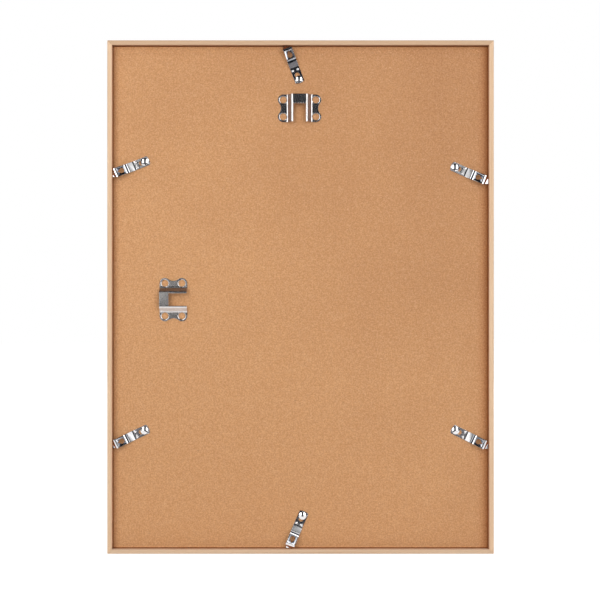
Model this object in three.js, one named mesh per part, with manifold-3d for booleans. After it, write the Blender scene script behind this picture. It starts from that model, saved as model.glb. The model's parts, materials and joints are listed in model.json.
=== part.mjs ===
// Wooden picture frame for 300 x 400 mm prints, with its glass, a blank sheet, a hardboard back,
// six turning spring clips and two sawtooth hangers.
// Millimetres. X is to the right and Z is up as the back is looked at, and the back faces -Y.
// The origin is the middle of the bottom edge, halfway through the depth.
import * as THREE from 'three';
import { mergeVertices } from 'three/addons/utils/BufferGeometryUtils.js';
import Module from 'manifold-3d';

// Wooden rails
const FRAME_WIDTH = 309;
const FRAME_HEIGHT = 410.5;
const FRAME_DEPTH = 15;
const FACE_WIDTH = 10;
const REAR_WALL = 3.8;
const LIP_THICKNESS = 4;
const FRONT_OUTER_ROUND = 1.2;
const FRONT_INNER_ROUND = 0.8;
const REAR_ROUND = 0.5;
const MITRE_GAP = 0.1;

// Groove in the inner walls, which takes the noses of the clips
const GROOVE_DEPTH = 2.7;
const GROOVE_WIDTH = 1.8;
const NOSE_TO_GROOVE_FLOOR = 0.3;

// V-nails that hold the mitres, hidden under the glass
const V_NAIL_LEG = 4;
const V_NAIL_SHEET = 0.6;
const V_NAIL_HEIGHT = 2.6;
const V_NAIL_SUNK = 0.2;
const V_NAIL_INSET = 4.7;
const V_NAIL_PLAY = 0.15;

// Glass, sheet and board, from the front to the back
const GLASS_THICKNESS = 2;
const SHEET_THICKNESS = 0.5;
const BOARD_THICKNESS = 3;
const SEAT_GAP = 0.1;
const EDGE_PLAY = 0.3;
const GLASS_ARRIS = 0.25;

// Rivets
const RIVET_SHANK = 3.5;
const RIVET_HEAD = 6.2;
const RIVET_HEAD_HEIGHT = 1.45;
const RIVET_RIM = 0.5;
const RIVET_END = 5.2;
const RIVET_END_THICKNESS = 0.7;
const SHANK_PLAY = 0.1;
const COUNTERBORE_PLAY = 0.3;
const RIVET_END_SUNK = 0.2;

// Spring clips: lengths run from the rivet's middle place in the slot to the nose
const CLIP_WIDTH = 7.5;
const CLIP_SHEET = 0.6;
const CLIP_TAIL = 4.1;
const CLIP_TAIL_BULGE = 1.1;
const CLIP_CORNER = 0.7;
const CLIP_BEND = 9.2;
const PLATE_RISE_DEG = 17.5;
const WINDOW_RISE_DEG = 13;
const CLIP_BEND_REACH = 0.6;
const CLIP_FOLD = 24.7;
const FOLD_REACH = 1;
const NOSE_DIP = 2;
const NOSE_DROP = 1.5;
const NOSE_LENGTH = 4.8;
const NOSE_TAPER_DEG = 25.5;
const BEAD_START = 14.1;
const BEAD_LENGTH = 2;
const BEAD_DEPTH = 0.85;
const BEAD_FLOOR_REACH = 0.2;
const SLOT_WIDTH = 3.8;
const SLOT_TO_NOSE = 3;
const SLOT_TO_TAIL = 1.1;
const DIMPLE_PLACE = 7.1;
const DIMPLE_SPREAD = 2.1;
const DIMPLE_RADIUS = 0.95;
const DIMPLE_HEIGHT = 0.42;
const WINDOW_START = 16.9;
const WINDOW_END = 23.8;
const WINDOW_RIM = 0.65;
const WINDOW_DEPTH = 0.5;
const WINDOW_SLOPE = 1.3;
const DROP_CENTRE = 19.5;
const DROP_RADIUS = 2.05;
const DROP_POINT = 23.2;

// Each clip's wall, its rivet's distance along that wall from the middle and inwards from it, its
// lean away from square, and how far it is pushed out along its slot
const CLIPS = [
  { name: 'left_high', wall: 'left', along: 108.6, inset: 25.3, lean: 21.9, push: -0.25 },
  { name: 'left_low', wall: 'left', along: -107.1, inset: 25.3, lean: 25, push: 0 },
  { name: 'right_high', wall: 'right', along: 104.1, inset: 26.2, lean: 24.3, push: 0 },
  { name: 'right_low', wall: 'right', along: -107.1, inset: 26.2, lean: 26, push: 0.4 },
  { name: 'top', wall: 'top', along: -1.2, inset: 26.7, lean: 21.2, push: 1 },
  { name: 'bottom', wall: 'bottom', along: 1.6, inset: 25.8, lean: 23.8, push: 0 },
];

// Sawtooth hangers
const HANGER_SHEET = 0.8;
const HANGER_HOLE_SPREAD = 26.2;
const HANGER_HOLE_DROP = 13.6;
const HANGER_EAR = 4.3;
const HANGER_WAIST = 2.4;
const HANGER_FOOT = 9.4;
const HANGER_SHOULDER = 5.9;
const HANGER_RISE = 3.9;
const HANGER_BEND_REACH = 1;
const HANGER_BAR = 7;
const HANGER_GAP = 10;
const TOOTH_COUNT = 5;
const TOOTH_HEIGHT = 1.3;
const EYELET_HOLE = 2.7;
const EYELET_WALL = 0.5;
const EYELET_DEPTH = 1.4;
const EYELET_ROUND = 0.6;
const EYELET_PLAY = 0.2;
const PORTRAIT_INSET = 53.6;
const PORTRAIT_OFFSET = -0.8;
const LANDSCAPE_INSET = 52.4;
const LANDSCAPE_OFFSET = -2;

const REAR = -FRAME_DEPTH / 2;
const FRONT = FRAME_DEPTH / 2;
const LIP_FLOOR = FRONT - LIP_THICKNESS;
const GLASS_REAR = LIP_FLOOR - SEAT_GAP - GLASS_THICKNESS;
const SHEET_REAR = GLASS_REAR - SEAT_GAP - SHEET_THICKNESS;
const BOARD_FRONT = SHEET_REAR - SEAT_GAP;
const BOARD_REAR = BOARD_FRONT - BOARD_THICKNESS;
const CENTRE_HEIGHT = FRAME_HEIGHT / 2;
const PANE_WIDTH = FRAME_WIDTH - 2 * (REAR_WALL + EDGE_PLAY);
const PANE_HEIGHT = FRAME_HEIGHT - 2 * (REAR_WALL + EDGE_PLAY);
const CLIP_LENGTH = CLIP_FOLD + NOSE_LENGTH;
const PLATE_SLOPE = THREE.MathUtils.degToRad(PLATE_RISE_DEG);
const WINDOW_TILT = THREE.MathUtils.degToRad(WINDOW_RISE_DEG);
const BEAD_HEIGHT = (BEAD_START - CLIP_BEND) * Math.tan(PLATE_SLOPE);
const FOLD_HEIGHT = BEAD_HEIGHT + (CLIP_FOLD - BEAD_START) * Math.tan(WINDOW_TILT);
const NOSE_HEIGHT = SEAT_GAP + CLIP_SHEET / 2 + FOLD_HEIGHT - NOSE_DROP;
const TIP_HALF_WIDTH = CLIP_WIDTH / 2 - NOSE_LENGTH * Math.tan(THREE.MathUtils.degToRad(NOSE_TAPER_DEG));
const GROOVE_CENTRE = BOARD_REAR - NOSE_HEIGHT;
const ROUND_STEPS = 20;

const kit = await Module();
kit.setup();

// A closed geometry as a solid that can be joined and cut
function solid(geometry) {
  const plain = geometry.clone();
  plain.deleteAttribute('normal');
  plain.deleteAttribute('uv');
  const merged = mergeVertices(plain, 1e-4);
  const corners = Array.from(merged.index.array);
  const kept = [];
  for (let i = 0; i < corners.length; i += 3) {
    const [a, b, c] = corners.slice(i, i + 3);
    if (a !== b && b !== c && c !== a) kept.push(a, b, c);
  }
  const mesh = new kit.Mesh({
    numProp: 3,
    vertProperties: merged.attributes.position.array,
    triVerts: new Uint32Array(kept),
  });
  return new kit.Manifold(mesh);
}

// A solid back as a geometry with flat faces
function geometryOf(made) {
  const mesh = made.getMesh();
  const geometry = new THREE.BufferGeometry();
  geometry.setAttribute('position', new THREE.BufferAttribute(new Float32Array(mesh.vertProperties), 3));
  geometry.setIndex(new THREE.BufferAttribute(new Uint32Array(mesh.triVerts), 1));
  const flat = geometry.toNonIndexed();
  flat.computeVertexNormals();
  return flat;
}

// A flat outline raised from one height to another
function plate(shape, low, high, steps = ROUND_STEPS / 2) {
  const geometry = new THREE.ExtrudeGeometry(shape, {
    depth: high - low,
    bevelEnabled: false,
    curveSegments: steps,
  });
  return geometry.translate(0, 0, low);
}

function shapeOf(points) {
  return new THREE.Shape(points.map(([x, y]) => new THREE.Vector2(x, y)));
}

// A profile of radius and height turned about the Z axis
function turned(profile, steps = ROUND_STEPS) {
  const points = profile.map(([radius, height]) => new THREE.Vector2(radius, height));
  return new THREE.LatheGeometry(points, steps).rotateX(Math.PI / 2);
}

function disc(radius, low, high) {
  return turned([[0, low], [radius, low], [radius, high], [0, high]]);
}

function box(width, depth, height, x, y, z) {
  return new THREE.BoxGeometry(width, depth, height).translate(x, y, z);
}

// A line whose inner corners are replaced by short curves; a point may carry a reach of its own
function eased(points, usual, steps) {
  const line = points.map(([x, y]) => new THREE.Vector2(x, y));
  const out = [line[0]];
  for (let i = 1; i < line.length - 1; i += 1) {
    const reach = points[i][2] ?? usual;
    const before = Math.min(0.45, reach / line[i].distanceTo(line[i - 1]));
    const after = Math.min(0.45, reach / line[i].distanceTo(line[i + 1]));
    const start = line[i].clone().lerp(line[i - 1], before);
    const end = line[i].clone().lerp(line[i + 1], after);
    for (let s = 0; s <= steps; s += 1) {
      const near = start.clone().lerp(line[i], s / steps);
      const far = line[i].clone().lerp(end, s / steps);
      out.push(near.lerp(far, s / steps));
    }
  }
  out.push(line[line.length - 1]);
  return out;
}

// The outline of a folded sheet around its middle line
function sheetOutline(line, thickness) {
  const offset = (sign) => line.map((point, i) => {
    const before = point.clone().sub(line[Math.max(i - 1, 0)]).normalize();
    const after = line[Math.min(i + 1, line.length - 1)].clone().sub(point).normalize();
    const along = before.clone().add(after).normalize();
    const stretch = 1 / Math.max(along.dot(i === 0 ? after : before), 0.5);
    const side = new THREE.Vector2(-along.y, along.x);
    return point.clone().addScaledVector(side, (sign * thickness * stretch) / 2);
  });
  return new THREE.Shape([...offset(-1), ...offset(1).reverse()]);
}

// From a frame on the board to the picture frame: X turned to the given angle, Z out of the back
function onBoard(x, z, angleDeg) {
  const angle = THREE.MathUtils.degToRad(angleDeg);
  const across = new THREE.Vector3(Math.cos(angle), 0, Math.sin(angle));
  const up = new THREE.Vector3(-Math.sin(angle), 0, Math.cos(angle));
  const out = new THREE.Vector3(0, -1, 0);
  return new THREE.Matrix4().makeBasis(across, up, out).setPosition(x, BOARD_REAR, z);
}

// Rail profile: distance in from the outer side, and depth from the rear face to the front
function railProfile() {
  const shape = new THREE.Shape();
  const grooveFloor = REAR_WALL - GROOVE_DEPTH;
  shape.moveTo(REAR_ROUND, REAR);
  shape.lineTo(REAR_WALL, REAR);
  shape.lineTo(REAR_WALL, GROOVE_CENTRE - GROOVE_WIDTH / 2);
  shape.lineTo(grooveFloor, GROOVE_CENTRE - GROOVE_WIDTH / 2);
  shape.lineTo(grooveFloor, GROOVE_CENTRE + GROOVE_WIDTH / 2);
  shape.lineTo(REAR_WALL, GROOVE_CENTRE + GROOVE_WIDTH / 2);
  shape.lineTo(REAR_WALL, LIP_FLOOR);
  shape.lineTo(FACE_WIDTH, LIP_FLOOR);
  shape.lineTo(FACE_WIDTH, FRONT - FRONT_INNER_ROUND);
  shape.absarc(FACE_WIDTH - FRONT_INNER_ROUND, FRONT - FRONT_INNER_ROUND, FRONT_INNER_ROUND, 0, Math.PI / 2);
  shape.absarc(FRONT_OUTER_ROUND, FRONT - FRONT_OUTER_ROUND, FRONT_OUTER_ROUND, Math.PI / 2, Math.PI);
  shape.absarc(REAR_ROUND, REAR + REAR_ROUND, REAR_ROUND, Math.PI, 1.5 * Math.PI);
  return shape;
}

// One rail, upright at the left side, with both ends cut to the mitre
function rail(length, reach) {
  const geometry = new THREE.ExtrudeGeometry(railProfile(), { depth: 1, bevelEnabled: false, curveSegments: 5 });
  const spots = geometry.attributes.position;
  for (let i = 0; i < spots.count; i += 1) {
    const inward = spots.getX(i);
    const half = length / 2 - inward - MITRE_GAP * Math.SQRT1_2;
    spots.setX(i, inward - reach);
    spots.setZ(i, spots.getZ(i) > 0.5 ? half : -half);
  }
  return geometry;
}

// The four rails by quarter turns about the depth axis
const SIDES = [
  { name: 'left', turn: 0, length: FRAME_HEIGHT, reach: FRAME_WIDTH / 2 },
  { name: 'top', turn: 1, length: FRAME_WIDTH, reach: FRAME_HEIGHT / 2 },
  { name: 'right', turn: 2, length: FRAME_HEIGHT, reach: FRAME_WIDTH / 2 },
  { name: 'bottom', turn: 3, length: FRAME_WIDTH, reach: FRAME_HEIGHT / 2 },
];

// The corners in turning order from the lower left, with the side of the middle each is on
const CORNERS = [
  { name: 'bottom_left', across: -1, up: -1 },
  { name: 'bottom_right', across: 1, up: -1 },
  { name: 'top_right', across: 1, up: 1 },
  { name: 'top_left', across: -1, up: 1 },
];

// A V-nail, or its pocket: two legs at a right angle from a bend on the mitre line
function vNail(corner, quarter, grow, rear, front) {
  const half = V_NAIL_SHEET / 2 + grow;
  const end = V_NAIL_LEG + grow;
  const outline = shapeOf([[-half, -half], [end, -half], [end, half], [half, half], [half, end], [-half, end]]);
  const x = corner.across * (FRAME_WIDTH / 2 - V_NAIL_INSET);
  const z = CENTRE_HEIGHT + corner.up * (FRAME_HEIGHT / 2 - V_NAIL_INSET);
  return plate(outline, BOARD_REAR - front, BOARD_REAR - rear).applyMatrix4(onBoard(x, z, 90 * quarter));
}

// Where a clip's rivet is, the way its nose points, and how far it is pushed out
function clipPlace(clip) {
  const lean = THREE.MathUtils.degToRad(clip.lean);
  const halfWidth = FRAME_WIDTH / 2;
  const halfHeight = FRAME_HEIGHT / 2;
  const byWall = {
    left: { x: -halfWidth + REAR_WALL + clip.inset, z: clip.along, angle: 180 + clip.lean },
    right: { x: halfWidth - REAR_WALL - clip.inset, z: clip.along, angle: -clip.lean },
    top: { x: clip.along, z: halfHeight - REAR_WALL - clip.inset, angle: 90 + clip.lean },
    bottom: { x: clip.along, z: -halfHeight + REAR_WALL + clip.inset, angle: 270 - clip.lean },
  }[clip.wall];
  const furthest = clip.inset + GROOVE_DEPTH - NOSE_TO_GROOVE_FLOOR - TIP_HALF_WIDTH * Math.sin(lean);
  const allowed = furthest / Math.cos(lean) - CLIP_LENGTH;
  const push = Math.max(-SLOT_TO_NOSE, Math.min(clip.push, allowed, SLOT_TO_TAIL));
  return { x: byWall.x, z: CENTRE_HEIGHT + byWall.z, angle: byWall.angle, push };
}

// One spring clip, flat round its slot, steepest up to the bead, then rising less to the fold
function clipSolid() {
  const middle = SEAT_GAP + CLIP_SHEET / 2;
  const heightAt = (u) => middle + BEAD_HEIGHT + (u - BEAD_START) * Math.tan(WINDOW_TILT);
  const line = eased([
    [-CLIP_TAIL - CLIP_TAIL_BULGE, middle],
    [CLIP_BEND, middle],
    [BEAD_START, heightAt(BEAD_START)],
    [BEAD_START + BEAD_LENGTH / 2, heightAt(BEAD_START + BEAD_LENGTH / 2) - BEAD_DEPTH, BEAD_FLOOR_REACH],
    [BEAD_START + BEAD_LENGTH, heightAt(BEAD_START + BEAD_LENGTH)],
    [CLIP_FOLD, heightAt(CLIP_FOLD), FOLD_REACH],
    [CLIP_FOLD + NOSE_DIP, heightAt(CLIP_FOLD) - NOSE_DROP],
    [CLIP_LENGTH + 1, heightAt(CLIP_FOLD) - NOSE_DROP],
  ], CLIP_BEND_REACH, 2);
  const strip = plate(sheetOutline(line, CLIP_SHEET), -CLIP_WIDTH / 2, CLIP_WIDTH / 2).rotateX(Math.PI / 2);

  const half = CLIP_WIDTH / 2;
  const tail = -CLIP_TAIL + CLIP_TAIL_BULGE;
  const outline = new THREE.Shape();
  outline.moveTo(CLIP_FOLD + 0.3, -half);
  outline.lineTo(CLIP_LENGTH - 0.4, -TIP_HALF_WIDTH);
  outline.quadraticCurveTo(CLIP_LENGTH, -TIP_HALF_WIDTH, CLIP_LENGTH, -TIP_HALF_WIDTH + 0.4);
  outline.lineTo(CLIP_LENGTH, TIP_HALF_WIDTH - 0.4);
  outline.quadraticCurveTo(CLIP_LENGTH, TIP_HALF_WIDTH, CLIP_LENGTH - 0.4, TIP_HALF_WIDTH);
  outline.lineTo(CLIP_FOLD + 0.3, half);
  outline.lineTo(tail + CLIP_CORNER, half);
  outline.quadraticCurveTo(tail, half, tail - 0.3, half - CLIP_CORNER);
  outline.quadraticCurveTo(-CLIP_TAIL - 0.45, 0, tail - 0.3, -half + CLIP_CORNER);
  outline.quadraticCurveTo(tail, -half, tail + CLIP_CORNER, -half);

  const slot = new THREE.Shape();
  slot.absarc(SLOT_TO_NOSE, 0, SLOT_WIDTH / 2, -Math.PI / 2, Math.PI / 2);
  slot.absarc(-SLOT_TO_TAIL, 0, SLOT_WIDTH / 2, Math.PI / 2, 1.5 * Math.PI);

  // A hole round towards the rivet and pointed towards the nose
  const reach = Math.acos(DROP_RADIUS / (DROP_POINT - DROP_CENTRE));
  const drop = new THREE.Shape();
  drop.absarc(DROP_CENTRE, 0, DROP_RADIUS, reach, 2 * Math.PI - reach);
  drop.lineTo(DROP_POINT, 0);

  // The pressed dish round that hole: a shallow tray that keeps the sheet's thickness
  const tray = (grow, low, high) => {
    const ring = (edge, height) => {
      const x0 = WINDOW_START + edge - grow;
      const x1 = WINDOW_END - edge + grow;
      const y = half - WINDOW_RIM - edge + grow;
      return [[x0, -y, height], [x1, -y, height], [x1, y, height], [x0, y, height]];
    };
    return frustum(ring(WINDOW_SLOPE, low), ring(0, high));
  };
  const tilt = new THREE.Matrix4()
    .makeTranslation(BEAD_START, 0, heightAt(BEAD_START))
    .multiply(new THREE.Matrix4().makeRotationY(-WINDOW_TILT))
    .multiply(new THREE.Matrix4().makeTranslation(-BEAD_START, 0, 0));
  const under = -CLIP_SHEET / 2 - WINDOW_DEPTH;
  const over = CLIP_SHEET / 2 - WINDOW_DEPTH;
  const below = solid(tray(0.35, under, CLIP_SHEET / 2 - 0.1).applyMatrix4(tilt));
  const hollow = solid(tray(0, over, CLIP_SHEET / 2 + 0.02).applyMatrix4(tilt));

  let made = solid(strip).intersect(solid(plate(outline, -1, 6, 5)));
  made = made.add(below).subtract(hollow);
  made = made.subtract(solid(plate(slot, -2, 4, 6))).subtract(solid(plate(drop, -2, 6, 8)));
  for (const side of [-1, 1]) {
    made = made.add(solid(dome(DIMPLE_RADIUS, DIMPLE_HEIGHT, side, SEAT_GAP + CLIP_SHEET - 0.05)));
    made = made.subtract(solid(dome(DIMPLE_RADIUS - 0.35, DIMPLE_HEIGHT - 0.1, side, SEAT_GAP - 0.01)));
  }
  return made;
}

// A solid between two four-cornered rings, the lower one first
function frustum(lower, upper) {
  const corners = [...lower, ...upper];
  const faces = [[0, 2, 1], [0, 3, 2], [4, 5, 6], [4, 6, 7]];
  for (let i = 0; i < 4; i += 1) {
    const next = (i + 1) % 4;
    faces.push([i, next, next + 4], [i, next + 4, i + 4]);
  }
  const geometry = new THREE.BufferGeometry();
  const spots = faces.flat().flatMap((corner) => corners[corner]);
  geometry.setAttribute('position', new THREE.Float32BufferAttribute(spots, 3));
  return geometry;
}

// The cap of one of the two dimples beside the clip's bend
function dome(radius, height, side, low) {
  const profile = [[0, low]];
  for (let i = 0; i <= 3; i += 1) {
    const angle = (i / 3) * (Math.PI / 2);
    profile.push([radius * Math.cos(angle), low + height * Math.sin(angle)]);
  }
  profile[profile.length - 1][0] = 0;
  return turned(profile, 12).translate(DIMPLE_PLACE, side * DIMPLE_SPREAD, 0);
}

// A rivet: domed head, shank through the clip and the board, flattened end in the counterbore
function rivetGeometry() {
  const seat = CLIP_SHEET + 2 * SEAT_GAP;
  const through = -BOARD_THICKNESS + RIVET_END_SUNK + RIVET_END_THICKNESS;
  const end = -BOARD_THICKNESS + RIVET_END_SUNK;
  const radius = RIVET_HEAD / 2;
  const cap = RIVET_HEAD_HEIGHT - RIVET_RIM;
  const ball = (radius ** 2 + cap ** 2) / (2 * cap);
  const profile = [[0, end], [RIVET_END / 2 - 0.25, end], [RIVET_END / 2, through]];
  profile.push([RIVET_SHANK / 2, through], [RIVET_SHANK / 2, seat], [radius - 0.12, seat]);
  profile.push([radius, seat + 0.12], [radius, seat + RIVET_RIM - 0.15]);
  const steps = 5;
  for (let i = 0; i <= steps; i += 1) {
    const out = (radius - 0.12) * (1 - i / steps);
    profile.push([out, seat + RIVET_HEAD_HEIGHT - ball + Math.sqrt(ball ** 2 - out ** 2)]);
  }
  return turned(profile);
}

// What is taken out of an eyelet's hole so that its upper edge is rounded
function eyeletMouth(flangeTop) {
  const profile = [[0, flangeTop - EYELET_ROUND]];
  for (let i = 0; i <= 3; i += 1) {
    const angle = (i / 3) * (Math.PI / 2);
    const out = EYELET_HOLE + EYELET_ROUND * (1 - Math.cos(angle));
    profile.push([out, flangeTop - EYELET_ROUND * (1 - Math.sin(angle))]);
  }
  profile.push([EYELET_HOLE + EYELET_ROUND, flangeTop + 0.1], [0, flangeTop + 0.1]);
  return turned(profile);
}

// A hanger: two ears with eyelets, two sloping legs and a raised bar with teeth
function hangerSolid() {
  const middle = SEAT_GAP + HANGER_SHEET / 2;
  const spread = HANGER_HOLE_SPREAD / 2;
  const drop = HANGER_HOLE_DROP / 2;
  const half = spread + HANGER_EAR + 1;
  const line = eased([
    [-half, middle],
    [-HANGER_FOOT, middle],
    [-HANGER_SHOULDER, middle + HANGER_RISE],
    [HANGER_SHOULDER, middle + HANGER_RISE],
    [HANGER_FOOT, middle],
    [half, middle],
  ], HANGER_BEND_REACH, 3);
  const top = drop + HANGER_EAR;
  const strip = plate(sheetOutline(line, HANGER_SHEET), -top - 1, top + 1).rotateX(Math.PI / 2);

  // Ears joined by a hollow waist that is tangent to both
  const waistFloor = spread + HANGER_EAR - HANGER_WAIST;
  const near = waistFloor - spread;
  const waistRadius = (near ** 2 + drop ** 2 - HANGER_EAR ** 2) / (2 * (HANGER_EAR - near));
  const waistCentre = waistFloor + waistRadius;
  const meet = Math.atan2(drop, waistCentre - spread);
  const edge = new THREE.Path();
  edge.absarc(spread, drop, HANGER_EAR, Math.PI / 2, -meet, true);
  edge.absarc(waistCentre, 0, waistRadius, Math.PI - meet, Math.PI + meet, false);
  edge.absarc(spread, -drop, HANGER_EAR, meet, -Math.PI / 2, true);
  const right = edge.getPoints(8);
  const left = right.map((point) => new THREE.Vector2(-point.x, point.y)).reverse();
  const outline = new THREE.Shape([...right, ...left]);

  // The gap under the bar, with the teeth along its upper edge
  const barFoot = top - HANGER_BAR;
  const pitch = HANGER_GAP / TOOTH_COUNT;
  const gap = [[-HANGER_GAP / 2, -top - 2], [HANGER_GAP / 2, -top - 2]];
  for (let i = TOOTH_COUNT; i > 0; i -= 1) {
    const rightFoot = -HANGER_GAP / 2 + i * pitch;
    gap.push([rightFoot, barFoot], [rightFoot - pitch / 2, barFoot - TOOTH_HEIGHT]);
  }
  gap.push([-HANGER_GAP / 2, barFoot]);

  let made = solid(strip).intersect(solid(plate(outline, -1, 8)));
  made = made.subtract(solid(plate(shapeOf(gap), -1, 8)));
  const collarRadius = EYELET_HOLE + EYELET_WALL;
  const flangeTop = SEAT_GAP + HANGER_SHEET;
  for (const x of [-spread, spread]) {
    for (const y of [-drop, drop]) {
      const collar = solid(disc(collarRadius, -EYELET_DEPTH, flangeTop - 0.2).translate(x, y, 0));
      const hole = solid(disc(EYELET_HOLE, -EYELET_DEPTH - 1, flangeTop + 1).translate(x, y, 0));
      made = made.add(collar).subtract(hole).subtract(solid(eyeletMouth(flangeTop).translate(x, y, 0)));
    }
  }
  return made;
}

const HANGERS = [
  { name: 'portrait', x: PORTRAIT_OFFSET, z: FRAME_HEIGHT - PORTRAIT_INSET, angle: 0 },
  { name: 'landscape', x: -FRAME_WIDTH / 2 + LANDSCAPE_INSET, z: CENTRE_HEIGHT + LANDSCAPE_OFFSET, angle: 90 },
];

// The board, with a stepped hole for each rivet and ring grooves for the hangers' eyelets
function boardSolid() {
  let made = solid(box(PANE_WIDTH, BOARD_THICKNESS, PANE_HEIGHT, 0, BOARD_FRONT - BOARD_THICKNESS / 2, CENTRE_HEIGHT));
  const hole = RIVET_SHANK / 2 + SHANK_PLAY;
  const sinkRadius = RIVET_END / 2 + COUNTERBORE_PLAY;
  const sinkDepth = RIVET_END_THICKNESS + RIVET_END_SUNK + SEAT_GAP;
  for (const clip of CLIPS) {
    const { x, z } = clipPlace(clip);
    const bore = turned([
      [0, 1],
      [hole, 1],
      [hole, -BOARD_THICKNESS + sinkDepth],
      [sinkRadius, -BOARD_THICKNESS + sinkDepth],
      [sinkRadius, -BOARD_THICKNESS - 1],
      [0, -BOARD_THICKNESS - 1],
    ].reverse());
    made = made.subtract(solid(bore.applyMatrix4(onBoard(x, z, 0))));
  }
  const inner = EYELET_HOLE - EYELET_PLAY;
  const outer = EYELET_HOLE + EYELET_WALL + EYELET_PLAY;
  for (const hanger of HANGERS) {
    for (const side of [-1, 1]) {
      for (const end of [-1, 1]) {
        const ring = turned([
          [inner, -EYELET_DEPTH - EYELET_PLAY],
          [outer, -EYELET_DEPTH - EYELET_PLAY],
          [outer, 1],
          [inner, 1],
          [inner, -EYELET_DEPTH - EYELET_PLAY],
        ]);
        ring.translate((side * HANGER_HOLE_SPREAD) / 2, (end * HANGER_HOLE_DROP) / 2, 0);
        made = made.subtract(solid(ring.applyMatrix4(onBoard(hanger.x, hanger.z, hanger.angle))));
      }
    }
  }
  return made;
}

// The pane, with its arrises taken off
function glassGeometry() {
  const flat = new THREE.Shape();
  const x = PANE_WIDTH / 2 - GLASS_ARRIS;
  const z = PANE_HEIGHT / 2 - GLASS_ARRIS;
  flat.moveTo(-x, -z).lineTo(x, -z).lineTo(x, z).lineTo(-x, z);
  const geometry = new THREE.ExtrudeGeometry(flat, {
    depth: GLASS_THICKNESS - 2 * GLASS_ARRIS,
    bevelEnabled: true,
    bevelThickness: GLASS_ARRIS,
    bevelSize: GLASS_ARRIS,
    bevelSegments: 1,
  });
  geometry.rotateX(Math.PI / 2);
  return geometry.translate(0, GLASS_REAR + GLASS_THICKNESS - GLASS_ARRIS, CENTRE_HEIGHT);
}

const group = new THREE.Group();
group.name = 'wooden_picture_frame';

function put(name, geometry, look) {
  const mesh = new THREE.Mesh(geometry, new THREE.MeshStandardMaterial(look));
  mesh.name = name;
  group.add(mesh);
}

const SIDE_WOOD = { color: 0xe6c4a6, roughness: 0.62, metalness: 0 };
const CROSS_WOOD = { color: 0xd8b595, roughness: 0.62, metalness: 0 };
const HARDBOARD = { color: 0xcd9a6f, roughness: 0.8, metalness: 0 };
const NICKEL = { color: 0xc9c9cc, roughness: 0.22, metalness: 1 };
const DARK_NICKEL = { color: 0x8f8b8a, roughness: 0.32, metalness: 1 };
const STEEL = { color: 0xa3a6a8, roughness: 0.4, metalness: 1 };
const GLASS = { color: 0xe8f1ee, roughness: 0.04, metalness: 0, transparent: true, opacity: 0.3 };
const PAPER = { color: 0xf2efe8, roughness: 0.9, metalness: 0 };

const NAIL_REAR = LIP_FLOOR + V_NAIL_SUNK;
const NAIL_FRONT = NAIL_REAR + V_NAIL_HEIGHT;
const pockets = CORNERS.map((corner, quarter) => (
  solid(vNail(corner, quarter, V_NAIL_PLAY, LIP_FLOOR - 0.5, NAIL_FRONT + V_NAIL_PLAY))
));

for (const side of SIDES) {
  const geometry = rail(side.length, side.reach).rotateY((side.turn * Math.PI) / 2);
  let made = solid(geometry.translate(0, 0, CENTRE_HEIGHT));
  for (const pocket of pockets) made = made.subtract(pocket);
  put(`rail_${side.name}`, geometryOf(made), side.turn % 2 ? CROSS_WOOD : SIDE_WOOD);
}
CORNERS.forEach((corner, quarter) => {
  put(`v_nail_${corner.name}`, vNail(corner, quarter, 0, NAIL_REAR, NAIL_FRONT), STEEL);
});
put('glass_pane', glassGeometry(), GLASS);
put(
  'picture_sheet',
  box(PANE_WIDTH, SHEET_THICKNESS, PANE_HEIGHT, 0, SHEET_REAR + SHEET_THICKNESS / 2, CENTRE_HEIGHT),
  PAPER,
);
put('back_panel', geometryOf(boardSolid()), HARDBOARD);

const clipShape = geometryOf(clipSolid());
const rivetShape = rivetGeometry();
for (const clip of CLIPS) {
  const { x, z, angle, push } = clipPlace(clip);
  const place = onBoard(x, z, angle).multiply(new THREE.Matrix4().makeTranslation(push, 0, 0));
  put(`clip_${clip.name}`, clipShape.clone().applyMatrix4(place), NICKEL);
  put(`rivet_${clip.name}`, rivetShape.clone().applyMatrix4(onBoard(x, z, 0)), NICKEL);
}

const hangerShape = geometryOf(hangerSolid());
for (const hanger of HANGERS) {
  const place = onBoard(hanger.x, hanger.z, hanger.angle);
  put(`hanger_${hanger.name}`, hangerShape.clone().applyMatrix4(place), DARK_NICKEL);
}

export default group;
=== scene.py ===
"""Looks for the wooden picture frame: its materials, pressed metal pieces, camera and light.

The photographed back faces -Y, X is to its right and Z is up. Lengths are metres, except that the
materials' graphs, and the values whose heading says so, count in millimetres.
"""

import json
import math

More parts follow.
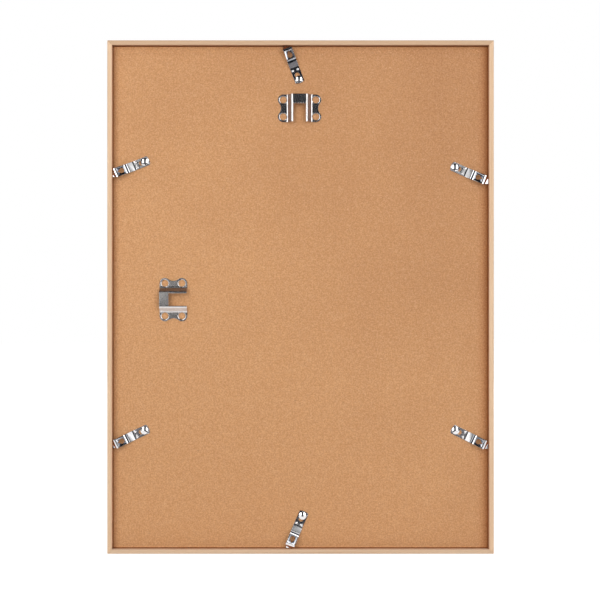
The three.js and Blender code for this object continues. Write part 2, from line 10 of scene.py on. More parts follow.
import bmesh
import bpy
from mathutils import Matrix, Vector

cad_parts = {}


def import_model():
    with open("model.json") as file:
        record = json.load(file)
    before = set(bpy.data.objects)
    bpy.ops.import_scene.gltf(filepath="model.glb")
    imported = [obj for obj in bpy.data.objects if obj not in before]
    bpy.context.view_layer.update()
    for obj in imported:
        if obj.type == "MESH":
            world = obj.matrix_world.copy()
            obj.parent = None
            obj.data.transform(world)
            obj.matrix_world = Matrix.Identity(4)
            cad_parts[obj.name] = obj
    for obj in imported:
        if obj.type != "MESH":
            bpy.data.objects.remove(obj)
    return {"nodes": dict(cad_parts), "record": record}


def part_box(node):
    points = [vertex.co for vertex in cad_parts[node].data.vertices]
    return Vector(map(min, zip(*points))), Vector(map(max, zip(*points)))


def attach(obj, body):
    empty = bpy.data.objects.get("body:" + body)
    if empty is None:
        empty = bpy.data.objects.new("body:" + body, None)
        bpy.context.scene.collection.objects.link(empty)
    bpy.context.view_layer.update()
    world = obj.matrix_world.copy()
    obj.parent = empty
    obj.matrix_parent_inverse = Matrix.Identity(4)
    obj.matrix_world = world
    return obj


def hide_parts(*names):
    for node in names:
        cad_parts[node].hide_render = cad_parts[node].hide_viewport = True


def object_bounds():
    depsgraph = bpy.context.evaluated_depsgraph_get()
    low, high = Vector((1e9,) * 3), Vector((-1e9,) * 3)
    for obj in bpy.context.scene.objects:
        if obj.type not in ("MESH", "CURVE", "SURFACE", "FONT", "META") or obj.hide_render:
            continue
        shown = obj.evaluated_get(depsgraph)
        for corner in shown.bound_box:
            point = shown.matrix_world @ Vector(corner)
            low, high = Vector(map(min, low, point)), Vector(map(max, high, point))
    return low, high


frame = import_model()
CAD_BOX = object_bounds()
NODES = frame["nodes"]

BEHAVIOUR = frame["record"]["behaviour"]
BODY_OF = {node: body for body, nodes in BEHAVIOUR["bodies"].items() for node in nodes}
JOINTS = {joint["name"]: joint for joint in BEHAVIOUR["joints"]}

MM = 0.001
X_AXIS = 0
Y_AXIS = 1
Z_AXIS = 2

# The frame's own sizes, in millimetres
HALF_WIDTH = (CAD_BOX[1][X_AXIS] - CAD_BOX[0][X_AXIS]) / 2 / MM
MID_HEIGHT = (CAD_BOX[1][Z_AXIS] - CAD_BOX[0][Z_AXIS]) / 2 / MM
REAR_RIM_WIDTH = 3.8
INNER_HALF_WIDTH = HALF_WIDTH - REAR_RIM_WIDTH
INNER_HALF_HEIGHT = MID_HEIGHT - REAR_RIM_WIDTH
LIP_START = 3.45
BOARD_CLEARANCE = 0.3


def linear(colour):
    """An 8-bit sRGB colour as linear RGBA."""
    parts = [c / 255 for c in colour]
    return [c / 12.92 if c <= 0.04045 else ((c + 0.055) / 1.055) ** 2.4 for c in parts] + [1.0]


WHITE = (1, 1, 1, 1)
BLACK = (0, 0, 0, 1)


class Graph:
    """The nodes of a material or of the world, and short calls that add them."""

    def __init__(self, owner, output="OutputMaterial"):
        owner.use_nodes = True
        self.owner = owner
        self.tree = owner.node_tree
        self.tree.nodes.clear()
        self.output = self.add(output)

    def add(self, kind, inputs=None, **settings):
        """A node with its settings, and with each named input linked or set."""
        made = self.tree.nodes.new("ShaderNode" + kind)
        for name, value in settings.items():
            setattr(made, name, value)
        for name, value in (inputs or {}).items():
            if isinstance(value, bpy.types.NodeSocket):
                self.tree.links.new(value, made.inputs[name])
            else:
                made.inputs[name].default_value = value
        return made

    def millimetres(self, stretch=(1, 1, 1), shift=(0, 0, 0)):
        """The object's own coordinates in millimetres, stretched and shifted."""
        inputs = {
            "Vector": self.add("TexCoord").outputs["Object"],
            "Scale": [share / MM for share in stretch],
            "Location": shift,
        }
        return self.add("Mapping", inputs).outputs["Vector"]

    def place(self):
        """The object's own x, y and z in millimetres."""
        return self.add("SeparateXYZ", {"Vector": self.millimetres()}).outputs

    def noise(self, where, scale, detail, roughness=0.5, distortion=0.0):
        inputs = {
            "Vector": where,
            "Scale": scale,
            "Detail": detail,
            "Roughness": roughness,
            "Distortion": distortion,
        }
        return self.add("TexNoise", inputs).outputs["Fac"]

    def ramp(self, value, start, end, at_start=0.0, at_end=1.0):
        """Runs straight from one result to another while the value runs from start to end."""
        inputs = {
            "Value": value,
            "From Min": start,
            "From Max": end,
            "To Min": at_start,
            "To Max": at_end,
        }
        return self.add("MapRange", inputs).outputs["Result"]

    def fade(self, distance, start, end, strength):
        """A strength that fades to nothing with the distance from an edge."""
        return self.ramp(distance, start, end, at_start=strength, at_end=0.0)

    def math(self, operation, first, second=0):
        return self.add("Math", {0: first, 1: second}, operation=operation).outputs["Value"]

    def plus(self, first, second):
        return self.math("ADD", first, second)

    def minus(self, first, second):
        return self.math("SUBTRACT", first, second)

    def times(self, first, second):
        return self.math("MULTIPLY", first, second)

    def larger(self, first, second):
        return self.math("MAXIMUM", first, second)

    def is_below(self, value, limit):
        return self.math("LESS_THAN", value, limit)

    def mix(self, factor, first, second, blend_type="MIX"):
        """Two colours mixed. The node's sockets 0, 6 and 7, and its result 2, are those for colours."""
        inputs = {0: factor, 6: first, 7: second}
        return self.add("Mix", inputs, data_type="RGBA", blend_type=blend_type).outputs[2]

    def tinted(self, colour, tint):
        """A colour multiplied by a tint."""
        return self.mix(1.0, colour, tint, "MULTIPLY")

    def partly_tinted(self, amount, colour, tint):
        """A colour multiplied by a tint as far as the amount says: here painted shade, painted light, and a
        darkening towards the top and right.
        """
        return self.mix(amount, colour, self.tinted(colour, tint))

    def bump(self, relief, strength, depth, normal=None):
        inputs = {"Height": relief, "Strength": strength, "Distance": depth}
        if normal is not None:
            inputs["Normal"] = normal
        return self.add("Bump", inputs).outputs["Normal"]

    def mix_shaders(self, factor, first, second):
        return self.add("MixShader", {0: factor, 1: first.outputs[0], 2: second.outputs[0]})

    def show(self, shader):
        """Gives a shader to the surface, or to the world."""
        self.tree.links.new(shader.outputs[0], self.output.inputs["Surface"])

    def surface(self, **inputs):
        """Shows a principled shader with these inputs, written with _ for a space."""
        named = {name.replace("_", " "): value for name, value in inputs.items()}
        self.show(self.add("BsdfPrincipled", named))


def new_graph(name):
    """The graph of a new material."""
    return Graph(bpy.data.materials.new(name))


# Wood
WOOD_PALE = linear((233, 202, 169))
WOOD_MID = linear((225, 189, 155))
WOOD_DARK = linear((189, 148, 110))
TOP_TINT = linear((231, 227, 225))
BOTTOM_TINT = linear((246, 250, 255))
# Painted shade: a browner tint on the rails' inner walls behind the lip
WALL_PAINTED_SHADE = linear((190, 124, 68))
WALL_MARGIN = 0.03
GRAIN_STRETCH = 0.012
PORE_STRETCH = 0.05


def along_grain(axis, stretch):
    """Stretches a pattern along one axis alone."""
    return [stretch if each == axis else 1 for each in (X_AXIS, Y_AXIS, Z_AXIS)]


def wood(name, along, shift, walls, tint=None):
    """Pale straight-grained wood with its grain along one axis, and painted shade on the milled inner wall.

    The shift gives each rail its own grain. The walls are half the frame's size between its inner
    walls, across the grain, and the middle between them.
    """
    g = new_graph(name)
    grain = g.millimetres(along_grain(along, GRAIN_STRETCH), shift)
    pore_grain = g.millimetres(along_grain(along, PORE_STRETCH), shift)
    figure = g.noise(grain, scale=0.35, detail=3, distortion=0.6)
    streaks = g.noise(grain, scale=2.2, detail=5, roughness=0.6)
    fibres = g.noise(grain, scale=9.0, detail=3, roughness=0.6)
    pores = g.ramp(g.noise(pore_grain, scale=5.0, detail=2), 0.63, 0.72)

    colour = g.mix(g.ramp(streaks, 0.32, 0.68), WOOD_MID, WOOD_PALE)
    colour = g.mix(g.ramp(figure, 0.52, 0.72, at_end=0.38), colour, WOOD_DARK)
    colour = g.mix(g.ramp(fibres, 0.5, 0.75, at_end=0.16), colour, WOOD_DARK)
    colour = g.mix(g.times(pores, 0.3), colour, WOOD_DARK)
    if tint:
        colour = g.tinted(colour, tint)

    half_size, middle = walls
    place = g.place()
    across = X_AXIS + Z_AXIS - along
    reach = g.math("ABSOLUTE", g.minus(place[across], middle))
    behind_lip = g.is_below(place[Y_AXIS], LIP_START)
    # Painted shade: the inner wall behind the lip is tinted browner
    painted_wall_shade = g.times(g.is_below(reach, half_size + WALL_MARGIN), behind_lip)
    colour = g.partly_tinted(painted_wall_shade, colour, WALL_PAINTED_SHADE)

    g.surface(
        Base_Color=colour,
        Roughness=g.ramp(streaks, 0.3, 0.7, at_start=0.52, at_end=0.64),
        Specular_IOR_Level=0.2,
        Normal=g.bump(g.minus(g.times(fibres, 0.5), pores), strength=0.35, depth=0.05 * MM),
    )
    return g.owner


# Hardboard, with its painted shade and painted light at the edges, and its darkening towards the top and
# right, measured in millimetres
BOARD_TONE = linear((216, 163, 113))
BOARD_SHADE = linear((188, 133, 84))
BOARD_LIGHT = linear((222, 175, 134))
FLECK_DARK = linear((140, 92, 58))
FLECK_PALE = linear((238, 203, 168))
# Painted shade: a browner, darker tint along the board's sides, wider and stronger on the right, where the
# rails shade it
EDGE_PAINTED_SHADE = (0.78, 0.6, 0.42, 1)
# Painted light: a paler tint along the board's top and bottom edges, against the rails' shade there
END_PAINTED_LIGHT = (1.38, 1.42, 1.42, 1)
# A tint that darkens the board towards the top and towards the right
FAR_CORNER_TINT = (0.8, 0.75, 0.73, 1)
DRIFT_UPWARD = 0.0022
DRIFT_RIGHTWARD = 0.0024
BOARD_HALF_WIDTH = INNER_HALF_WIDTH - BOARD_CLEARANCE
BOARD_HALF_HEIGHT = INNER_HALF_HEIGHT - BOARD_CLEARANCE
FLECK_STRETCH = 0.45


def flecks(g, where, scale, distortion, start, end):
    """1 in short scattered fibres, and 0 between them."""
    fibres = g.noise(where, scale, detail=2, roughness=0.55, distortion=distortion)
    return g.ramp(fibres, start, end)


def hardboard():
    """Pressed brown fibreboard: mottled, with short fibres, darker towards the top and right, with painted
    shade along its sides and painted light along its top and bottom edges.
    """
    g = new_graph("hardboard")
    where = g.millimetres()
    level = g.millimetres((1, 1, FLECK_STRETCH), shift=(13, 5, 71))
    upright = g.millimetres((FLECK_STRETCH, 1, 1), shift=(41, 19, 3))
    broad = g.noise(where, scale=0.012, detail=2)
    mottle = g.noise(where, scale=0.3, detail=4, roughness=0.6)
    speckle = g.noise(where, scale=0.8, detail=2, roughness=0.6)
    grit = g.noise(where, scale=1.6, detail=3, roughness=0.65)
    dark = flecks(g, level, scale=1.1, distortion=0.4, start=0.68, end=0.74)
    darker = flecks(g, upright, scale=0.9, distortion=0.4, start=0.69, end=0.75)
    pale = flecks(g, upright, scale=1.3, distortion=0.3, start=0.67, end=0.75)

    place = g.place()
    # The board darkens towards the top and towards the right
    drift = g.plus(g.times(place[Z_AXIS], DRIFT_UPWARD), g.times(place[X_AXIS], DRIFT_RIGHTWARD))
    drift = g.plus(drift, g.ramp(broad, 0.35, 0.65, at_start=-0.12, at_end=0.12))
    colour = g.mix(g.ramp(mottle, 0.4, 0.7, at_end=0.45), BOARD_TONE, BOARD_LIGHT)
    colour = g.mix(g.ramp(speckle, 0.36, 0.64, at_end=0.75), colour, BOARD_SHADE)
    colour = g.mix(g.ramp(grit, 0.42, 0.7, at_end=0.5), colour, BOARD_SHADE)
    colour = g.partly_tinted(g.ramp(drift, 0.3, 1.15), colour, FAR_CORNER_TINT)
    colour = g.mix(g.times(dark, 0.6), colour, FLECK_DARK)
    colour = g.mix(g.times(darker, 0.55), colour, FLECK_DARK)
    colour = g.mix(g.times(pale, 0.5), colour, FLECK_PALE)

    across = g.plus(place[X_AXIS], g.ramp(mottle, 0.3, 0.7, at_start=-0.7, at_end=0.7))
    above = g.minus(place[Z_AXIS], MID_HEIGHT)
    # Painted shade along the board's sides, widest on the right
    left_painted_shade = g.fade(g.plus(BOARD_HALF_WIDTH, across), 0.5, 4.5, strength=0.1)
    right_painted_shade = g.fade(g.minus(BOARD_HALF_WIDTH, across), 0.5, 8.0, strength=0.85)
    # Painted light along the board's top and bottom edges
    top_painted_light = g.fade(g.minus(BOARD_HALF_HEIGHT, above), 0.3, 5.5, strength=0.95)
    bottom_painted_light = g.fade(g.plus(BOARD_HALF_HEIGHT, above), 0.2, 2.0, strength=0.5)
    colour = g.partly_tinted(g.larger(left_painted_shade, right_painted_shade), colour, EDGE_PAINTED_SHADE)
    colour = g.partly_tinted(g.larger(top_painted_light, bottom_painted_light), colour, END_PAINTED_LIGHT)

    g.surface(
        Base_Color=colour,
        Roughness=g.ramp(grit, 0.3, 0.7, at_start=0.55, at_end=0.72),
        Normal=g.bump(g.minus(grit, g.times(dark, 0.6)), strength=0.3, depth=0.04 * MM),
    )
    return g.owner


# Plated and bare steel
NICKEL = linear((226, 225, 226))
SATIN = linear((216, 212, 210))
STEEL = linear((170, 172, 176))
# Painted shade: a dark blue-grey tint in the clips' pressed window, bead and sill
RECESS_PAINTED_SHADE = (0.12, 0.14, 0.18, 1)
CLOUD_TONE = 0.82


def plated(name, tone, smoothest, roughest, grain, relief):
    """Metal with fine rolling lines, slow waves and faint clouding, and painted shade darkening its
    recesses.
    """
    g = new_graph(name)
    clouds = g.noise(g.millimetres(), scale=0.35, detail=3, roughness=0.55)
    lines = g.noise(g.millimetres(grain), scale=7.0, detail=3, roughness=0.6)
    waves = g.noise(g.millimetres(shift=(31, 7, 19)), scale=0.22, detail=1, roughness=0.4)
    clouded = [part * CLOUD_TONE for part in tone[:3]] + [1.0]
    colour = g.mix(g.ramp(clouds, 0.45, 0.75, at_end=0.25), tone, clouded)
    # Painted shade, as marked on the clips' corners, darkens the pressed window, bead and sill
    recess_painted_shade = g.add("Attribute", attribute_name="recess_painted_shade").outputs["Fac"]
    colour = g.partly_tinted(recess_painted_shade, colour, RECESS_PAINTED_SHADE)
    lined = g.ramp(lines, 0.3, 0.7, at_start=smoothest, at_end=roughest)
    waved = g.bump(waves, strength=1.0, depth=0.02 * MM)
    g.surface(
        Base_Color=colour,
        Metallic=1.0,
        Roughness=g.plus(lined, g.ramp(clouds, 0.55, 0.8, at_end=0.04)),
        Normal=g.bump(lines, relief, 0.004 * MM, waved),
    )
    return g.owner


# Glass and paper
GLASS_TINT = linear((249, 253, 251))
GLASS_IOR = 1.5
PAPER_TONE = linear((240, 238, 233))
PAPER_FIBRE = linear((229, 226, 219))
PAPER_CLOUD = linear((233, 230, 222))


def glass():
    """Clear pane with a faint green tint and a few faint smears."""
    g = new_graph("glass")
    smears = g.noise(g.millimetres((1, 1, 0.3)), scale=0.04, detail=4, roughness=0.6)
    g.surface(
        Base_Color=GLASS_TINT,
        Roughness=g.ramp(smears, 0.5, 0.8, at_end=0.03),
        Transmission_Weight=1.0,
        IOR=GLASS_IOR,
    )
    return g.owner


def paper():
    """Blank uncoated sheet with fibres just visible."""
    g = new_graph("paper")
    fibres = g.noise(g.millimetres(), scale=1.2, detail=5, roughness=0.7)
    clouds = g.noise(g.millimetres(), scale=0.05, detail=2)
    colour = g.mix(g.ramp(fibres, 0.4, 0.7, at_end=0.25), PAPER_TONE, PAPER_FIBRE)
    colour = g.mix(g.ramp(clouds, 0.4, 0.7, at_end=0.2), colour, PAPER_CLOUD)
    g.surface(
        Base_Color=colour,
        Roughness=g.ramp(fibres, 0.3, 0.7, at_start=0.8, at_end=0.92),
        Normal=g.bump(fibres, strength=0.2, depth=0.03 * MM),
    )
    return g.owner


def dress(name, material):
    """Gives a node its one material."""
    materials = NODES[name].data.materials
    materials.clear()
    materials.append(material)


def smooth(node, angle):
    """Shades faces together where they meet at less than an angle in degrees."""
    node.data.shade_smooth()
    node.data.set_sharp_from_angle(angle=math.radians(angle))


def piece_of(work, name, node_name, material):
    """A mesh that stands for a CAD node, on that node's body."""
    mesh = bpy.data.meshes.new(name)
    work.to_mesh(mesh)
    work.free()
    mesh.shade_smooth()
    mesh.materials.append(material)
    made = bpy.data.objects.new(name, mesh)
    bpy.context.scene.collection.objects.link(made)
    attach(made, BODY_OF[node_name])
    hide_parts(node_name)
    return made


# Pressed pieces: a node's own surface with its corners joined and its edges rounded
WELD = 0.002 * MM
FLAT_AREA = 3 * MM**2
FLAT_COSINE = math.cos(math.radians(0.5))
CREASE_ANGLE = math.radians(12)
EDGE_SEGMENTS = 2
FLATS_WEIGHT = 90
CLIP_ROUNDING = 0.08 * MM
CLIP_EDGE_ANGLE = 28
HANGER_ROUNDING = 0.12 * MM
HANGER_EDGE_ANGLE = 34


def merged(node):
    """The node's surface with its corners joined."""
    work = bmesh.new()
    work.from_mesh(node.data)
    bmesh.ops.remove_doubles(work, verts=work.verts, dist=WELD)
    return work


def flat_faces(work):
    """The faces that lie in a flat stretch of some size."""
    flats = set()
    seen = set()
    for start in work.faces:
        if start in seen:
            continue
        seen.add(start)
        patch = [start]
        for face in patch:
            for other in (linked for edge in face.edges for linked in edge.link_faces):
                if other not in seen and other.normal.dot(start.normal) > FLAT_COSINE:
                    seen.add(other)
                    patch.append(other)
        if sum(face.calc_area() for face in patch) > FLAT_AREA:
            flats.update(patch)
    return flats


def creased(work):
    """The same surface with its larger flats kept flat, by sharp edges round them."""
    work.normal_update()
    flats = flat_faces(work)
    for edge in work.edges:
        turns = edge.calc_face_angle(0) > CREASE_ANGLE
        edge.smooth = not (turns and any(face in flats for face in edge.link_faces))
    return work


def round_edges(piece, width, angle):
    """Rounds the edges that turn by more than an angle in degrees, so that they catch the light."""
    bevel = piece.modifiers.new("edges", "BEVEL")
    bevel.width = width
    bevel.segments = EDGE_SEGMENTS
    bevel.limit_method = "ANGLE"
    bevel.angle_limit = math.radians(angle)
    bevel.use_clamp_overlap = False
    return bevel


def weigh_normals(piece):
    """Lets large faces set the shading, more than the small ones beside them."""
    weigh = piece.modifiers.new("flats", "WEIGHTED_NORMAL")
    weigh.mode = "FACE_AREA"
    weigh.weight = FLATS_WEIGHT
    weigh.keep_sharp = True


# Clip, in millimetres from the middle of its slot towards its nose: where painted shade darkens its window,
# bead and sill
WINDOW_START = 16.9
WINDOW_END = 23.8
WINDOW_HALF_WIDTH = 3.1
WINDOW_FADE = 0.8
BEAD_MIDDLE = 15.1
BEAD_HALF_WIDTH = 0.75
BEAD_FADE = 0.4
SILL_HALF_WIDTH = 0.15
SILL_DARKNESS = 0.7
SLOT_TRAVEL = 3.0


def mark_painted_recess_shade(piece, name):
    """Marks how far painted shade darkens the corners that lie inside the pressed window and bead of a
    clip, or on the window's sill.
    """
    pivot = JOINTS[name + "_turn"]["pos_m"]
    slide = JOINTS[name + "_slide"]
    ahead = slide["axis"]
    push = -slide["range_m"][0] / MM - SLOT_TRAVEL
    marks = piece.data.attributes.new("recess_painted_shade", "FLOAT", "POINT")
    for corner, mark in zip(piece.data.vertices, marks.data):
        x = (corner.co.x - pivot[X_AXIS]) / MM
        z = (corner.co.z - pivot[Z_AXIS]) / MM
        forward = x * ahead[X_AXIS] + z * ahead[Z_AXIS] - push
        sideways = x * ahead[Z_AXIS] - z * ahead[X_AXIS]
        inside = min(forward - WINDOW_START, WINDOW_END - forward, WINDOW_HALF_WIDTH - abs(sideways))
        bead = (BEAD_HALF_WIDTH - abs(forward - BEAD_MIDDLE)) / BEAD_FADE
        sill = SILL_DARKNESS if abs(forward - WINDOW_START) < SILL_HALF_WIDTH else 0
        mark.value = min(max(inside / WINDOW_FADE, bead, sill), 1)


# Rivet: radii, and heights above the board's rear face, the rim's and the dome's above their seat
RIVET_HEAD_RADIUS = 3.1 * MM
RIVET_CAP_RADIUS = 2.98 * MM
RIVET_SHANK_RADIUS = 1.75 * MM
RIVET_END_RADIUS = 2.6 * MM
RIVET_SEAT = 0.8 * MM
RIVET_RIM = 0.35 * MM
RIVET_RISE = 1.45 * MM
RIVET_BALL = 5.533 * MM
RIVET_END_LOW = -2.8 * MM
RIVET_END_HIGH = -2.1 * MM
RIVET_RIM_ROUNDING = 0.14 * MM
RIVET_END_CHAMFER = 0.25 * MM
RIVET_SIDES = 48
RIM_STEPS = 4
BROW_STEPS = 4
CAP_STEPS = 14


def cap_height(radius):
    """Height of the domed head above its seat, at a distance from its axis."""
    return RIVET_RISE - RIVET_BALL + math.sqrt(RIVET_BALL**2 - radius**2)


def rivet_profile():
    """Radius and height of a rivet's corners, from its flattened end to the top of its dome."""
    profile = [(0, RIVET_END_LOW), (RIVET_END_RADIUS - RIVET_END_CHAMFER, RIVET_END_LOW)]
    profile += [(RIVET_END_RADIUS, RIVET_END_LOW + RIVET_END_CHAMFER), (RIVET_END_RADIUS, RIVET_END_HIGH)]
    profile += [(RIVET_SHANK_RADIUS, RIVET_END_HIGH), (RIVET_SHANK_RADIUS, RIVET_SEAT)]
    for step in range(RIM_STEPS + 1):
        angle = math.radians(90 * step / RIM_STEPS - 90)
        inward = RIVET_RIM_ROUNDING * (1 - math.cos(angle))
        upward = RIVET_RIM_ROUNDING * (1 + math.sin(angle))
        profile.append((RIVET_HEAD_RADIUS - inward, RIVET_SEAT + upward))
    for step in range(BROW_STEPS):
        angle = math.radians(90 * step / BROW_STEPS)
        inward = (RIVET_HEAD_RADIUS - RIVET_CAP_RADIUS) * (1 - math.cos(angle))
        upward = RIVET_RIM + (cap_height(RIVET_CAP_RADIUS) - RIVET_RIM) * math.sin(angle)
        profile.append((RIVET_HEAD_RADIUS - inward, RIVET_SEAT + upward))
    for step in range(CAP_STEPS + 1):
        radius = RIVET_CAP_RADIUS * (1 - step / CAP_STEPS)
        profile.append((radius, RIVET_SEAT + cap_height(radius)))
    return profile


def rivet_form(name):
    """A turned rivet in a node's place: flattened end, shank, and a domed head with a rounded rim."""
    low, high = (Vector(corner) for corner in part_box(name))
    middle = (low + high) / 2
    board = low.y + RIVET_SEAT + RIVET_RISE
    turns = [2 * math.pi * side / RIVET_SIDES for side in range(RIVET_SIDES)]
    work = bmesh.new()
    rings = []
    for radius, height in rivet_profile():
        if radius == 0:
            rings.append([work.verts.new((middle.x, board - height, middle.z))] * RIVET_SIDES)
            continue
        ring = []
        for turn in turns:
            x = middle.x + radius * math.cos(turn)
            z = middle.z + radius * math.sin(turn)
            ring.append(work.verts.new((x, board - height, z)))
        rings.append(ring)
    for lower, upper in zip(rings, rings[1:]):
        for side in range(RIVET_SIDES):
            corners = [lower[side - 1], lower[side], upper[side], upper[side - 1]]
            work.faces.new(list(dict.fromkeys(corners)))
    bmesh.ops.recalc_face_normals(work, faces=work.faces)
    return work


# The object
SIDE_WALLS = (INNER_HALF_WIDTH, 0)
CROSS_WALLS = (INNER_HALF_HEIGHT, MID_HEIGHT)
RAIL_SMOOTH_ANGLE = 30
dress("rail_left", wood("wood_left", Z_AXIS, shift=(3, 17, 41), walls=SIDE_WALLS))
dress("rail_right", wood("wood_right", Z_AXIS, shift=(57, 5, 13), walls=SIDE_WALLS))
dress("rail_top", wood("wood_top", X_AXIS, (29, 61, 7), CROSS_WALLS, TOP_TINT))
dress("rail_bottom", wood("wood_bottom", X_AXIS, (11, 23, 83), CROSS_WALLS, BOTTOM_TINT))
for side in ("left", "right", "top", "bottom"):
    smooth(NODES["rail_" + side], RAIL_SMOOTH_ANGLE)

dress("back_panel", hardboard())
dress("glass_pane", glass())
dress("picture_sheet", paper())

clip_metal = plated("nickel_clip", NICKEL, smoothest=0.1, roughest=0.15, grain=(0.3, 1, 0.3), relief=0.2)
rivet_metal = plated("nickel_rivet", NICKEL, smoothest=0.04, roughest=0.08, grain=(1, 1, 1), relief=0.1)
hanger_metal = plated("nickel_hanger", SATIN, smoothest=0.14, roughest=0.2, grain=(1, 1, 0.2), relief=0.25)
nail_metal = plated("nail_steel", STEEL, smoothest=0.3, roughest=0.4, grain=(1, 1, 1), relief=0.3)

for name in list(NODES):
    if name.startswith("clip_"):
        dress(name, clip_metal)
        made = piece_of(merged(NODES[name]), name + "_pressed", name, clip_metal)
        # Painted shade in the clip's pressed window, bead and sill
        mark_painted_recess_shade(made, name)
        round_edges(made, CLIP_ROUNDING, CLIP_EDGE_ANGLE)
        weigh_normals(made)
    elif name.startswith("rivet_"):
        dress(name, rivet_metal)
        piece_of(rivet_form(name), name + "_domed", name, rivet_metal)
    elif name.startswith("hanger_"):
        dress(name, hanger_metal)
        surface = creased(merged(NODES[name]))
        made = piece_of(surface, name + "_folded", name, hanger_metal)
        round_edges(made, HANGER_ROUNDING, HANGER_EDGE_ANGLE).harden_normals = True
    elif name.startswith("v_nail_"):
        dress(name, nail_metal)

# Camera: its axis meets the rear rim a little left of and below the frame's middle
CAMERA_DISTANCE = 850 * MM
VIEW_SPAN = 479.4 * MM
AXIS_X = -0.44 * MM
AXIS_Z = 202.9 * MM
REAR_RIM = CAD_BOX[0][Y_AXIS]
SENSOR = 36.0
NEAREST_SEEN = 10 * MM


def camera():
    """A level camera that looks along +Y at the photographed back."""
    made = bpy.data.objects.new("camera", bpy.data.cameras.new("camera"))
    bpy.context.scene.collection.objects.link(made)
    made.data.sensor_width = SENSOR
    made.data.lens = SENSOR * CAMERA_DISTANCE / VIEW_SPAN
    made.data.clip_start = NEAREST_SEEN
    made.location = (AXIS_X, REAR_RIM - CAMERA_DISTANCE, AXIS_Z)
    made.rotation_euler = (math.radians(90), 0, 0)
    bpy.context.scene.camera = made


# Lamps: the back has one on each side, and the front has one
SIDE_LAMP_X = 0.73
SIDE_LAMP_Y = -1.13
SIDE_LAMP_Z = 0.93
SIDE_LAMP_SIZE = (0.84, 1.8)
SIDE_LAMP_AIM = (0, 0, 0.7)
LEFT_WATTS = 12.4
RIGHT_WATTS = 10.6
FRONT_LAMP = (0.3, 1.5, 0.8)
FRONT_LAMP_SIZE = (1.6, 1.4)
FRONT_LAMP_AIM = (0, 0, 0.2)
FRONT_WATTS = 18.0


def softbox(name, place, size, aim, watts):
    """A rectangular lamp that the metal doesn't reflect."""
    data = bpy.data.lights.new(name, "AREA")
    data.shape = "RECTANGLE"
    data.size, data.size_y = size
    data.energy = watts
    made = bpy.data.objects.new(name, data)
    bpy.context.scene.collection.objects.link(made)
    made.visible_camera = False
    made.visible_glossy = False
    made.location = place
    made.rotation_euler = (Vector(aim) - Vector(place)).to_track_quat("-Z", "Y").to_euler()


def side_lamp(name, side, watts):
    """A softbox behind the camera and above it, on the left for side -1 or on the right for 1."""
    place = (side * SIDE_LAMP_X, SIDE_LAMP_Y, SIDE_LAMP_Z)
    softbox(name, place, SIDE_LAMP_SIZE, SIDE_LAMP_AIM, watts)


AMBIENT = 0.18


def background_rays(g):
    """1 for camera, glossy and transmission rays, which find the white background, else 0."""
    path = g.add("LightPath").outputs
    return g.larger(g.larger(path["Is Camera Ray"], path["Is Glossy Ray"]), path["Is Transmission Ray"])


def world():
    """White to the rays that see it, and dim as a source of light."""
    made = bpy.data.worlds.new("studio")
    bpy.context.scene.world = made
    g = Graph(made, "OutputWorld")
    dim = g.add("Background", {"Color": WHITE, "Strength": AMBIENT})
    white = g.add("Background", {"Color": WHITE, "Strength": 1.0})
    g.show(g.mix_shaders(background_rays(g), dim, white))


def stage(name, outlines, material):
    """Flat pieces of the studio, which aren't part of the object."""
    mesh = bpy.data.meshes.new(name)
    corners = [corner for outline in outlines for corner in outline]
    ends = [sum(len(outline) for outline in outlines[:i]) for i in range(len(outlines) + 1)]
    mesh.from_pydata(corners, [], [range(start, end) for start, end in zip(ends, ends[1:])])
    made = bpy.data.objects.new(name, mesh)
    bpy.context.scene.collection.objects.link(made)
    made.data.materials.append(material)
    return made


def span(first, second):
    """The outline between two level edges, each given as half its length, its y and its z."""
    half_length, y, z = first
    other_half_length, other_y, other_z = second
    near = [(-half_length, y, z), (half_length, y, z)]
    return near + [(other_half_length, other_y, other_z), (-other_half_length, other_y, other_z)]


FLOOR_REACH = 4.0
FLOOR_GLOW = 0.96
FLOOR_SHADE = 0.62


def floor():
    """White where it is seen, with the object's shadow kept on it."""
    g = new_graph("floor")
    grain = g.noise(g.millimetres(), scale=0.02, detail=2)
    tone = g.mix(grain, linear((243, 243, 242)), linear((238, 238, 237)))
    plain = g.add("BsdfDiffuse", {"Color": tone})
    shade = g.add("BsdfDiffuse", {"Color": g.mix(FLOOR_SHADE, tone, BLACK)})
    glow = g.add("Emission", {"Color": WHITE, "Strength": FLOOR_GLOW})
    seen = g.add("AddShader", {0: glow.outputs[0], 1: shade.outputs[0]})
    g.show(g.mix_shaders(background_rays(g), plain, seen))
    stage("floor", [span((FLOOR_REACH, -FLOOR_REACH, 0), (FLOOR_REACH, FLOOR_REACH, 0))], g.owner)


def reflected_only(made):
    """Leaves a piece of the studio to glossy rays alone."""
    made.visible_camera = False
    made.visible_shadow = False
    made.visible_diffuse = False
    made.visible_transmission = False


# Dark walls: the floor's strip narrows to a tongue that ends in front of the object
STUDIO_SIDE = 1.7
STUDIO_BACK = -1.7
STUDIO_CEILING = 2.6
CEILING_FRONT = 0.35
SIDE_WALL_FRONT = -0.05
STRIP_HEIGHT = 0.001
STRIP_FRONT = -0.42
TONGUE_HALF_WIDTH = 0.11
TONGUE_END = -0.09
TONGUE_END_HALF_WIDTH = 0.03
WALL_DARK = linear((48, 50, 56))
WALL_LESS_DARK = linear((66, 69, 77))
STRIP_GREY = linear((140, 138, 142))

# Where the strip turns grey, in millimetres: below a height, and more and more with the distance
STRIP_TOP = 2
GREY_START = -560
GREY_END = -780


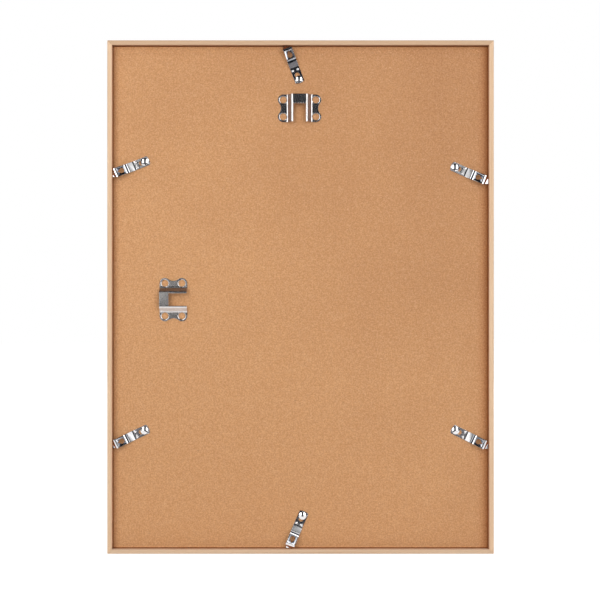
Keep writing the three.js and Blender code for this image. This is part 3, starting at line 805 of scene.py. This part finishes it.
def dark_walls():
    """The unlit walls, ceiling and strip of floor of the studio, which only the metal reflects."""
    back_low = (STUDIO_SIDE, STUDIO_BACK, STRIP_HEIGHT)
    back_high = (STUDIO_SIDE, STUDIO_BACK, STUDIO_CEILING)
    outlines = [span(back_low, back_high), span(back_high, (STUDIO_SIDE, CEILING_FRONT, STUDIO_CEILING))]
    for x in (-STUDIO_SIDE, STUDIO_SIDE):
        low_edge = [(x, STUDIO_BACK, STRIP_HEIGHT), (x, SIDE_WALL_FRONT, STRIP_HEIGHT)]
        high_edge = [(x, SIDE_WALL_FRONT, STUDIO_CEILING), (x, STUDIO_BACK, STUDIO_CEILING)]
        outlines.append(low_edge + high_edge)
    outlines.append(span(back_low, (STUDIO_SIDE, STRIP_FRONT, STRIP_HEIGHT)))
    tongue_start = (TONGUE_HALF_WIDTH, STRIP_FRONT, STRIP_HEIGHT)
    outlines.append(span(tongue_start, (TONGUE_END_HALF_WIDTH, TONGUE_END, STRIP_HEIGHT)))

    g = new_graph("dark_walls")
    place = g.place()
    tone = g.mix(g.noise(g.millimetres(), scale=0.004, detail=2), WALL_DARK, WALL_LESS_DARK)
    on_floor = g.is_below(place[Z_AXIS], STRIP_TOP)
    far_off = g.ramp(place[Y_AXIS], GREY_START, GREY_END)
    tone = g.mix(g.times(on_floor, far_off), tone, STRIP_GREY)
    g.show(g.add("BsdfDiffuse", {"Color": tone}))
    reflected_only(stage("dark_walls", outlines, g.owner))


# Light panels: their glow rises in steps with the distance from the middle, in millimetres
PANEL_X = 0.62
PANEL_Y = -1.19
PANEL_Z = 0.85
PANEL_ACROSS = (0.84, 0.54)
PANEL_HALF_WIDTH = 0.56
PANEL_HALF_HEIGHT = 0.95
PANEL_CORNERS = 40
PANEL_POWER = 0.2
GAP_WAIST = 300
GAP_GROWTH_UP = 0.105
GAP_GROWTH_DOWN = 0.25
GLOW_STEPS = [(200, 290, 0.3), (335, 390, 1.5), (430, 600, 1.4)]


def squarer(part):
    """A sine or cosine drawn out towards -1 or 1, which makes an ellipse nearly a rectangle."""
    return math.copysign(abs(part) ** PANEL_POWER, part)


def panel_outline(side):
    """The outline of the light panel on the left for side -1, or on the right for 1."""
    middle = Vector((side * PANEL_X, PANEL_Y, PANEL_Z))
    across = Vector((PANEL_ACROSS[0], side * PANEL_ACROSS[1], 0)).normalized()
    corners = []
    for step in range(PANEL_CORNERS):
        turn = 2 * math.pi * step / PANEL_CORNERS
        sideways = squarer(math.cos(turn)) * PANEL_HALF_WIDTH
        upward = squarer(math.sin(turn)) * PANEL_HALF_HEIGHT
        corners.append(tuple(middle + across * sideways + Vector((0, 0, upward))))
    return corners


def light_panels():
    """The lamps as the metal shows them: tall panels with a dark gap between, wider away from its waist."""
    g = new_graph("light_panels")
    place = g.place()
    above = g.times(g.minus(place[Z_AXIS], GAP_WAIST), GAP_GROWTH_UP)
    below = g.times(g.minus(GAP_WAIST, place[Z_AXIS]), GAP_GROWTH_DOWN)
    beside = g.minus(g.math("ABSOLUTE", place[X_AXIS]), g.larger(above, below))
    strength = 0
    for start, end, gain in GLOW_STEPS:
        strength = g.plus(strength, g.ramp(beside, start, end, at_end=gain))
    g.show(g.add("Emission", {"Color": WHITE, "Strength": strength}))
    reflected_only(stage("light_panels", [panel_outline(side) for side in (-1, 1)], g.owner))


# The studio
camera()
world()
floor()
dark_walls()
light_panels()
side_lamp("softbox_left", -1, LEFT_WATTS)
side_lamp("softbox_right", 1, RIGHT_WATTS)
softbox("softbox_front", FRONT_LAMP, FRONT_LAMP_SIZE, FRONT_LAMP_AIM, FRONT_WATTS)

bpy.context.scene.view_settings.view_transform = "Standard"
